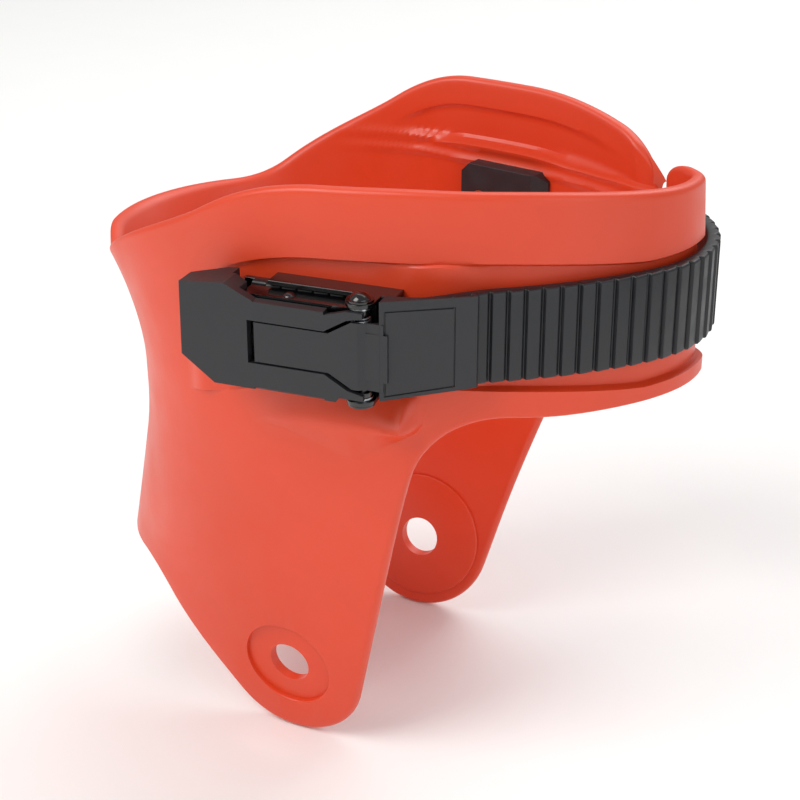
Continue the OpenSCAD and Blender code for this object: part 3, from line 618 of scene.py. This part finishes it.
def zinc_steel():
    """Turned steel with bright zinc plating: metallic, with fine tool marks and a faint haze."""
    material, tree = new_material("zinc_plated_steel")
    if tree is None:
        return material
    base = tuple(colours().zinc)
    place = add_node(tree, "ShaderNodeTexCoord").outputs["Object"]
    marks = add_node(tree, "ShaderNodeTexNoise", {"Vector": place, "Scale": per_mm(0.4), "Detail": 3.0})
    haze = add_node(tree, "ShaderNodeTexNoise", {"Vector": place, "Scale": per_mm(2.5), "Detail": 3.0})
    gloss = add_node(tree, "ShaderNodeMapRange",
                     {"Value": haze.outputs["Fac"], "From Min": 0.3, "From Max": 0.7, "To Min": 0.22, "To Max": 0.38})
    bump = add_node(tree, "ShaderNodeBump",
                    {"Height": marks.outputs["Fac"], "Strength": 0.15, "Distance": 0.02 * MM})
    shader = add_node(tree, "ShaderNodeBsdfPrincipled", {
        "Base Color": tints(tree, haze.outputs["Fac"], scaled(base, 0.9), scaled(base, 1.05)),
        "Metallic": 1.0, "Roughness": gloss.outputs["Result"], "Normal": bump.outputs["Normal"]})
    finish_tree(tree, shader)
    return material


def turned_brass():
    """Turned brass inserts: metallic yellow with fine tool marks."""
    material, tree = new_material("turned_brass")
    if tree is None:
        return material
    base = tuple(colours().brass)
    place = add_node(tree, "ShaderNodeTexCoord").outputs["Object"]
    tarnish = add_node(tree, "ShaderNodeTexNoise", {"Vector": place, "Scale": per_mm(2), "Detail": 4.0})
    gloss = add_node(tree, "ShaderNodeMapRange",
                     {"Value": tarnish.outputs["Fac"], "From Min": 0.3, "From Max": 0.7, "To Min": 0.22, "To Max": 0.4})
    shader = add_node(tree, "ShaderNodeBsdfPrincipled", {
        "Base Color": tints(tree, tarnish.outputs["Fac"], scaled(base, 0.85), scaled(base, 1.05)),
        "Metallic": 1.0, "Roughness": gloss.outputs["Result"]})
    finish_tree(tree, shader)
    return material


def studio_paper():
    """Seamless studio paper: matt and pale, with a barely visible tooth."""
    material, tree = new_material("studio_paper")
    if tree is None:
        return material
    base = tuple(colours().floor)
    place = add_node(tree, "ShaderNodeTexCoord").outputs["Object"]
    tooth = add_node(tree, "ShaderNodeTexNoise", {"Vector": place, "Scale": per_mm(30), "Detail": 3.0})
    shader = add_node(tree, "ShaderNodeBsdfPrincipled", {
        "Base Color": tints(tree, tooth.outputs["Fac"], scaled(base, 0.99), base),
        "Roughness": 0.95})
    finish_tree(tree, shader)
    return material


# ---- operators: one for each group of pieces ----
def ear_place(side):
    """From a frame on an ear, whose z points outwards, to the cuff's own."""
    tilt = side * -(90 + math.degrees(math.atan(EAR_LEAN)))
    move = Matrix.Translation((0, side * mm("pivot_half") * MM, 0))
    return move @ Matrix.Rotation(math.radians(tilt), 4, "X")


def mouth(radius, depth, rounding):
    """Profile of a round hole's cutter, from a depth up to a rounded mouth and on past the face."""
    profile = [(radius, -depth)]
    for k in range(5):
        a = 90 * k / 4
        profile.append((radius + rounding * (1 - cos_deg(a)), -rounding * (1 - sin_deg(a))))
    profile.append((radius + rounding, 6))
    return profile


class MESH_OT_ankle_cuff_shell(bpy.types.Operator):
    """Models the moulded shell with its ears, channel and ledge"""

    bl_idname = "mesh.ankle_cuff_shell"
    bl_label = "Shell"

    def execute(self, context):
        form = ShellForm()
        rings = []
        for th, thin in form.stations():
            col = form.column(th)
            pairs = [form.outer_and_inner(th, col, z, inset, thin) if thin < form.wall / 2
                     else self.closed(form, th, col, z, inset) for z, inset in form.levels(col)]
            rings.append([inner for outer, inner in pairs] + [outer for outer, inner in reversed(pairs)])
        shell = woven_grid("shell_moulding", rings)
        disc_r, wall = mm("disc_r"), mm("wall")
        disc = [(disc_r - 0.01, 0.2 - wall)]
        disc += [(disc_r - 0.5 * (1 - cos_deg(a)), -wall - 0.3 - 0.5 * sin_deg(a)) for a in (0, 30, 60, 90)]
        for side in (-1, 1):
            apply_boolean(shell, turned("disc", disc, ear_place(side)), "UNION")
        for side in (-1, 1):
            recess = mouth(mm("recess_r"), mm("recess_d"), RECESS_ROUNDING)
            apply_boolean(shell, turned("recess", recess, ear_place(side)), "DIFFERENCE")
            hole = mouth(mm("pivot_r"), 3 * wall, 0.01)
            apply_boolean(shell, turned("hole", hole, Matrix.Translation((0, side * mm("pivot_half") * MM, 0))
                                        @ Matrix.Rotation(math.radians(-90 * side), 4, "X")), "DIFFERENCE")
        smooth(shell, 32)
        mount_piece(shell, "cuff", "orange_shell", moulded_nylon(), "cuff_shell")
        return {"FINISHED"}

    @staticmethod
    def closed(form, th, col, z, inset):
        """Both faces meet in the middle of the wall where the flap ends."""
        outer, inner = form.outer_and_inner(th, col, z, inset, 0)
        middle = tuple((a + b) / 2 for a, b in zip(outer, inner))
        return middle, middle


class StrapForm:
    """The strap's way: straight through the buckle, then round the front in the shell's channel."""

    low = 1.9
    tail, straight_end = -14, 25
    bend_end, stop = -44, 86
    sunk = CHANNEL_D - 0.6
    follow_z = 100
    front_rise = 4.8
    plain_end = 40

    def __init__(self):
        self.shell = ShellForm()
        steps = int((self.straight_end - self.tail) / 1.5) + 1
        way = [self.in_buckle(self.tail + 1.5 * k) for k in range(steps)]
        a, b = self.in_buckle(self.straight_end), self.on_shell(self.bend_end)
        turn = Vector((cos_deg(PAD_ANGLE), sin_deg(PAD_ANGLE)))
        onward = (self.on_shell(self.bend_end + 1) - b).normalized()
        reach = (b - a).length
        for k in range(1, 13):
            q = k / 13
            way.append((2 * q ** 3 - 3 * q ** 2 + 1) * a + (q ** 3 - 2 * q ** 2 + q) * reach * turn
                       + (3 * q ** 2 - 2 * q ** 3) * b + (q ** 3 - q ** 2) * reach * onward)
        way += [self.on_shell(self.bend_end + 2 * k) for k in range((self.stop - self.bend_end) // 2 + 1)]
        self.way = way
        self.run = [0.0]
        for p, q in zip(way, way[1:]):
            self.run.append(self.run[-1] + (q - p).length)

    def in_buckle(self, s):
        return Vector((PAD_X + s * cos_deg(PAD_ANGLE) + self.low * sin_deg(PAD_ANGLE),
                       -PAD_HALF + s * sin_deg(PAD_ANGLE) - self.low * cos_deg(PAD_ANGLE)))

    def on_shell(self, angle):
        x, y, nx, ny = self.shell.plan(angle, self.follow_z)
        return Vector((x - nx * self.sunk, y - ny * self.sunk))

    def rise(self, p):
        if p.y < 0 or p.x > 85:
            return 3.2 * step01(36, 62, p.x) + (self.front_rise - 3.2) * step01(60, 88, p.x)
        return mix(ANCHOR_Z - BUCKLE_Z, self.front_rise, step01(30, 85, p.x))

    def at(self, distance):
        """Place and tangent after a distance along the strap, smoothed between the way's points."""
        k = 0
        while k < len(self.run) - 2 and self.run[k + 1] < distance:
            k += 1
        q = clamp01((distance - self.run[k]) / (self.run[k + 1] - self.run[k]))
        place = self.way[k].lerp(self.way[k + 1], q)
        before = self.way[max(k - 1, 0)]
        after = self.way[min(k + 2, len(self.way) - 1)]
        tangent = (self.way[k + 1] - before).normalized().lerp((after - self.way[k]).normalized(), q).normalized()
        return place, tangent

    def ring(self, distance, height, shrink):
        """A cross section with rounded corners; shrink narrows it at the strap's ends."""
        place, tangent = self.at(distance)
        outward = Vector((tangent.y, -tangent.x))
        z = BUCKLE_Z + self.rise(place)
        half = mm("strap_w") / 2 - shrink
        low, high = shrink * 0.5, mm("strap_core") + height - shrink * 0.5
        r = min(0.7, (high - low) / 2 - 0.02)
        points = []
        for cu, cz, start in ((high - r, half - r, 0), (low + r, half - r, 90),
                              (low + r, r - half, 180), (high - r, r - half, 270)):
            for k in range(4):
                a = start + 30 * k
                u, v = cu + r * cos_deg(a), cz + r * sin_deg(a)
                points.append((place.x + outward.x * u, place.y + outward.y * u, z + v))
        return points


class MESH_OT_ankle_cuff_strap(bpy.types.Operator):
    """Models the ladder strap with its rounded teeth"""

    bl_idname = "mesh.ankle_cuff_strap"
    bl_label = "Ladder strap"

    def execute(self, context):
        form = StrapForm()
        total = form.run[-1]
        pitch, tooth_h = mm("tooth_pitch"), mm("tooth_h")
        teeth = int((total - form.plain_end - 4) // pitch)
        step = pitch / 18
        rings = [form.ring(0, 0, 1.1), form.ring(0.15, 0, 0.5), form.ring(0.5, 0, 0.1)]
        count = int(total / step)
        for k in range(2, count - 1):
            d = k * step
            phase = (d - 4) / pitch
            height = 0.0
            if 0 <= phase < teeth:
                q = phase % 1
                height = tooth_h * step01(0.03, 0.17, q) * (1 - step01(0.86, 1.0, q)) * (1.05 - 0.5 * q)
            rings.append(form.ring(d, height, 0))
        rings += [form.ring(total - 0.4, 0, 0.1), form.ring(total - 0.1, 0, 0.5), form.ring(total, 0, 1.1)]
        strap = woven_grid("toothed_strap", rings)
        self.close_ends(strap)
        smooth(strap, 40)
        mount_piece(strap, "cuff", "black_strap", strap_polyurethane(), "ladder_strap")
        return {"FINISHED"}

    @staticmethod
    def close_ends(strap):
        """Fills the two open ends."""
        activate(strap)
        bpy.ops.object.mode_set(mode="EDIT")
        bpy.ops.mesh.select_mode(type="EDGE")
        bpy.ops.mesh.select_all(action="DESELECT")
        bpy.ops.mesh.select_non_manifold(extend=False, use_wire=False, use_boundary=True,
                                         use_multi_face=False, use_non_contiguous=False, use_verts=False)
        bpy.ops.mesh.fill_holes(sides=0)
        bpy.ops.mesh.select_all(action="SELECT")
        bpy.ops.mesh.normals_make_consistent(inside=False)
        bpy.ops.mesh.select_mode(type="VERT")
        bpy.ops.object.mode_set(mode="OBJECT")


class MESH_OT_ankle_cuff_anchor(bpy.types.Operator):
    """Models the strap's fixed end: block, plate, screws and inserts"""

    bl_idname = "mesh.ankle_cuff_anchor"
    bl_label = "Strap anchor"

    def execute(self, context):
        block = softened("anchor_moulding", "anchor_block", mm("moulding_edge"))
        mount_piece(block, "cuff", "black_moulding", black_nylon(), "anchor_block")
        plate = softened("anchor_strip", "anchor_plate", mm("steel_edge"))
        mount_piece(plate, "cuff", "black_steel", black_steel(), "anchor_plate")
        screws = softened("anchor_bolts", "anchor_screws", mm("steel_edge"))
        mount_piece(screws, "cuff", "zinc_steel", zinc_steel(), "anchor_screws")
        dress(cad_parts["anchor_inserts"], turned_brass())
        return {"FINISHED"}


class MESH_OT_ankle_cuff_base(bpy.types.Operator):
    """Models the buckle's steel base with its rivets and lever pin"""

    bl_idname = "mesh.ankle_cuff_base"
    bl_label = "Buckle base"

    def execute(self, context):
        base = softened("base_pressing", "buckle_base", mm("steel_edge"))
        mount_piece(base, "cuff", "black_steel", black_steel(), "buckle_base")
        pin = softened("lever_axle", "lever_pin", mm("steel_edge"))
        mount_piece(pin, "cuff", "black_steel", black_steel(), "lever_pin")
        for node in ("base_rivets", "rivet_washers", "pivot_washers"):
            dress(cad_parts[node], zinc_steel())
        clip = softened("axle_clip", "lever_pin_clip", FINE_EDGE)
        mount_piece(clip, "cuff", "black_steel", black_steel(), "lever_pin_clip")
        return {"FINISHED"}


class MESH_OT_ankle_cuff_lever(bpy.types.Operator):
    """Models the lever: yoke, handle, screws, drive pawl, stub pins and spring"""

    bl_idname = "mesh.ankle_cuff_lever"
    bl_label = "Lever"

    def execute(self, context):
        yoke = softened("yoke_pressing", "lever_yoke", mm("steel_edge"))
        mount_piece(yoke, "lever", "black_steel", black_steel(), "lever_yoke")
        handle = softened("handle_moulding", "lever_handle", mm("moulding_edge"))
        mount_piece(handle, "lever", "black_moulding", black_nylon(), "lever_handle")
        pawl = softened("drive_dog", "drive_pawl", mm("steel_edge"))
        mount_piece(pawl, "drive_pawl", "black_steel", black_steel(), "drive_pawl")
        studs = softened("pawl_studs", "drive_pawl_pins", FINE_EDGE)
        mount_piece(studs, "lever", "black_steel", black_steel(), "drive_pawl_pins")
        for node in ("handle_screws", "drive_pawl_spring"):
            dress(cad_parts[node], zinc_steel())
        return {"FINISHED"}


class MESH_OT_ankle_cuff_release(bpy.types.Operator):
    """Models the release rocker with its pawl, rivets and spring"""

    bl_idname = "mesh.ankle_cuff_release"
    bl_label = "Release rocker"

    def execute(self, context):
        rocker = softened("rocker_moulding", "release_rocker", mm("moulding_edge"))
        mount_piece(rocker, "release", "black_moulding", black_nylon(), "release_rocker")
        pawl = softened("holding_dog", "holding_pawl", mm("steel_edge"))
        mount_piece(pawl, "release", "black_steel", black_steel(), "holding_pawl")
        for node in ("pawl_rivets", "release_spring"):
            dress(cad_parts[node], zinc_steel())
        return {"FINISHED"}


# ---- stage ----
CAMERA_PLACE = (0.2198, -0.4025, 0.2735)
CAMERA_AZIMUTH, CAMERA_ELEVATION = 27.2, 24.7
CAMERA_LENS = 81


def area_light(name, place, target, size, power, tint):
    """A square soft light that faces a target."""
    deselect()
    bpy.ops.object.light_add(type="AREA", location=place)
    lamp = bpy.context.object
    lamp.name = name
    lamp.data.size = size
    lamp.data.energy = power
    lamp.data.color = linear(tint)
    lamp.rotation_euler = (Vector(target) - Vector(place)).to_track_quat("-Z", "Y").to_euler()


class OBJECT_OT_ankle_cuff_stage(bpy.types.Operator):
    """Sets up the pale floor, the soft lights and the camera"""

    bl_idname = "object.ankle_cuff_stage"
    bl_label = "Stage"

    def execute(self, context):
        deselect()
        ground = CAD_BOUNDS[0][2] - 0.2 * MM
        bpy.ops.mesh.primitive_plane_add(size=8, location=(0, 0, ground))
        floor = named("studio_floor")
        bpy.ops.object.transform_apply(location=True, rotation=True, scale=True)
        dress(floor, studio_paper())
        middle = (0.01, 0, 0.06)
        area_light("key_light", (-0.45, -0.75, 0.95), middle, 0.7, 9.0, "#FFFDFA")
        area_light("fill_light", (0.95, -0.55, 0.5), middle, 0.9, 3.0, "#FAFCFF")
        area_light("back_light", (0.2, 0.8, 0.9), middle, 0.8, 3.0, "#FFFFFF")
        area_light("overhead_softbox", (0.0, 1.6, 2.2), (0.0, 1.5, 0.0), 2.4, 26.0, "#FFFFFF")
        world = bpy.data.worlds.new("studio_air")
        context.scene.world = world
        world.use_nodes = True
        background = world.node_tree.nodes["Background"]
        background.inputs["Color"].default_value = (1, 1, 1, 1)
        background.inputs["Strength"].default_value = 0.42
        bpy.ops.object.camera_add(location=CAMERA_PLACE)
        camera = bpy.context.object
        camera.name = "studio_camera"
        camera.rotation_euler = (math.radians(90 - CAMERA_ELEVATION), 0, math.radians(CAMERA_AZIMUTH))
        camera.data.sensor_width = 36
        camera.data.lens = CAMERA_LENS
        camera.data.clip_start = 0.01
        context.scene.camera = camera
        context.scene.view_settings.view_transform = "Standard"
        return {"FINISHED"}


BUILD_STEPS = (
    MESH_OT_ankle_cuff_shell, MESH_OT_ankle_cuff_strap, MESH_OT_ankle_cuff_anchor, MESH_OT_ankle_cuff_base,
    MESH_OT_ankle_cuff_lever, MESH_OT_ankle_cuff_release, OBJECT_OT_ankle_cuff_stage)


class VIEW3D_PT_ankle_cuff(bpy.types.Panel):
    """Lists the cuff's sizes, colours and build steps"""

    bl_idname = "VIEW3D_PT_ankle_cuff"
    bl_label = "Ankle Cuff"
    bl_space_type = "VIEW_3D"
    bl_region_type = "UI"
    bl_category = "Ankle Cuff"

    def draw(self, context):
        for group in (sizes(), colours()):
            box = self.layout.box()
            for name in group.__annotations__:
                box.prop(group, name)
        for step in BUILD_STEPS:
            self.layout.operator(step.bl_idname)


CLASSES = (AnkleCuffSizes, AnkleCuffColours, *BUILD_STEPS, VIEW3D_PT_ankle_cuff)


def register():
    for cls in CLASSES:
        bpy.utils.register_class(cls)
    bpy.types.Scene.ankle_cuff_sizes = bpy.props.PointerProperty(type=AnkleCuffSizes)
    bpy.types.Scene.ankle_cuff_colours = bpy.props.PointerProperty(type=AnkleCuffColours)


def unregister():
    del bpy.types.Scene.ankle_cuff_colours
    del bpy.types.Scene.ankle_cuff_sizes
    for cls in reversed(CLASSES):
        bpy.utils.unregister_class(cls)


def main():
    register()
    bpy.ops.mesh.ankle_cuff_shell()
    bpy.ops.mesh.ankle_cuff_strap()
    bpy.ops.mesh.ankle_cuff_anchor()
    bpy.ops.mesh.ankle_cuff_base()
    bpy.ops.mesh.ankle_cuff_lever()
    bpy.ops.mesh.ankle_cuff_release()
    bpy.ops.object.ankle_cuff_stage()


if __name__ == "__main__":
    main()
